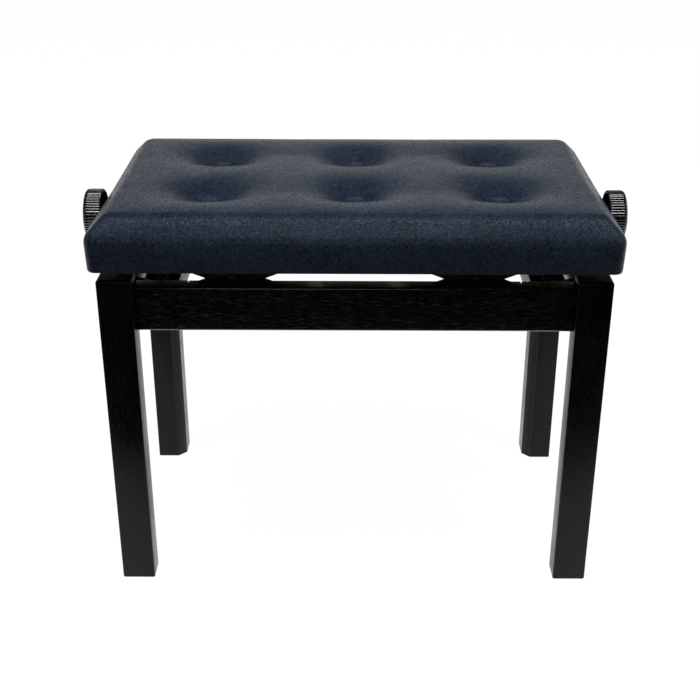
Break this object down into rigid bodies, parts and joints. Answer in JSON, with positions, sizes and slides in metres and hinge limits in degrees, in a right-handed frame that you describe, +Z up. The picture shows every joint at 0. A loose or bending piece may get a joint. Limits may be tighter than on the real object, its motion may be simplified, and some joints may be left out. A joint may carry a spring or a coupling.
{
  "type": "piano bench",
  "caption": "Free-standing wooden bench with a buttoned seat on a scissor lift that a cross screw raises and lowers from a ribbed knob at either end.",
  "frame": {"origin": "on the floor, under the middle of the bench", "axes": "+Z up, +X along the length of the bench, -Y towards the front"},
  "size_m": [0.617, 0.334, 0.4454],
  "materials": {
    "dark_wood": "satin",
    "plywood": "raw",
    "vinyl": "satin",
    "black_steel": "satin",
    "zinc_steel": "zinc plated",
    "knob_plastic": "gloss",
    "glide": "matt"
  },
  "bodies": {
    "frame": {"leg_front_left": "dark_wood", "leg_front_right": "dark_wood", "leg_rear_left": "dark_wood", "leg_rear_right": "dark_wood", "rail_front": "dark_wood", "rail_rear": "dark_wood", "rail_left": "dark_wood", "rail_right": "dark_wood", "corner_bracket_front_left": "black_steel", "corner_bracket_front_right": "black_steel", "corner_bracket_rear_left": "black_steel", "corner_bracket_rear_right": "black_steel", "corner_bolt_front_left": "black_steel", "corner_bolt_front_right": "black_steel", "corner_bolt_rear_left": "black_steel", "corner_bolt_rear_right": "black_steel", "foot_glide_front_left": "glide", "foot_glide_front_right": "glide", "foot_glide_rear_left": "glide", "foot_glide_rear_right": "glide", "base_angle_front": "black_steel", "base_angle_rear": "black_steel", "cross_channel_left": "black_steel", "cross_channel_right": "black_steel", "hinge_rod_left": "zinc_steel", "hinge_rod_right": "zinc_steel"},
    "outer_arms_right": {"outer_arm_front_right": "black_steel", "outer_arm_rear_right": "black_steel", "pivot_rod_right": "zinc_steel"},
    "inner_arms_right": {"inner_arm_front_right": "black_steel", "inner_arm_rear_right": "black_steel", "tie_rod_right": "zinc_steel"},
    "nut_bar_right": {"nut_bar_right": "zinc_steel"},
    "outer_arms_left": {"outer_arm_front_left": "black_steel", "outer_arm_rear_left": "black_steel", "pivot_rod_left": "zinc_steel"},
    "inner_arms_left": {"inner_arm_front_left": "black_steel", "inner_arm_rear_left": "black_steel", "tie_rod_left": "zinc_steel"},
    "nut_bar_left": {"nut_bar_left": "zinc_steel"},
    "seat": {"seat_board": "plywood", "rim_front": "plywood", "rim_rear": "plywood", "rim_left": "plywood", "rim_right": "plywood", "cushion": "vinyl", "button_front_left": "vinyl", "button_front_middle": "vinyl", "button_front_right": "vinyl", "button_rear_left": "vinyl", "button_rear_middle": "vinyl", "button_rear_right": "vinyl", "seat_angle_front": "black_steel", "seat_angle_rear": "black_steel", "bearing_plate_left": "black_steel", "bearing_plate_right": "black_steel"},
    "screw": {"screw_shaft": "zinc_steel", "knob_left": "knob_plastic", "knob_right": "knob_plastic"}
  },
  "joints": [
    {"name": "lift_right", "type": "hinge", "parent": "frame", "child": "outer_arms_right", "pos_m": [0.217, 0, 0.3294], "axis": [0, 1, 0], "range_deg": [0, 43.42]},
    {"name": "cross_right", "type": "hinge", "parent": "outer_arms_right", "child": "inner_arms_right", "pos_m": [0.13112, 0, 0.3624], "axis": [0, 1, 0], "range_deg": [-86.94, 0.1]},
    {"name": "seat_level", "type": "hinge", "parent": "inner_arms_right", "child": "seat", "pos_m": [0.217, 0, 0.3954], "axis": [0, 1, 0], "range_deg": [-0.1, 43.52]},
    {"name": "lift_left", "type": "hinge", "parent": "frame", "child": "outer_arms_left", "pos_m": [-0.217, 0, 0.3294], "axis": [0, -1, 0], "range_deg": [-0.1, 43.52]},
    {"name": "cross_left", "type": "hinge", "parent": "outer_arms_left", "child": "inner_arms_left", "pos_m": [-0.13112, 0, 0.3624], "axis": [0, -1, 0], "range_deg": [-86.94, 0.1]},
    {"name": "bar_right", "type": "hinge", "parent": "outer_arms_right", "child": "nut_bar_right", "pos_m": [0.04524, 0, 0.3954], "axis": [0, 1, 0], "range_deg": [-43.52, 0.1]},
    {"name": "bar_left", "type": "hinge", "parent": "outer_arms_left", "child": "nut_bar_left", "pos_m": [-0.04524, 0, 0.3954], "axis": [0, -1, 0], "range_deg": [-43.52, 0.1]},
    {"name": "screw_turn", "type": "hinge", "parent": "seat", "child": "screw", "pos_m": [0, 0, 0.3954], "axis": [1, 0, 0], "range_deg": [-1, 5545.7]}
  ],
  "couplings": [
    {"joint": "cross_right", "follows": "lift_right", "ratio": -2},
    {"joint": "seat_level", "follows": "lift_right", "ratio": 1},
    {"joint": "lift_left", "follows": "lift_right", "ratio": 1},
    {"joint": "cross_left", "follows": "lift_right", "ratio": -2},
    {"joint": "bar_right", "follows": "lift_right", "ratio": -1},
    {"joint": "bar_left", "follows": "lift_right", "ratio": -1},
    {"joint": "screw_turn", "follows": "lift_right", "ratio": 127.7}
  ]
}
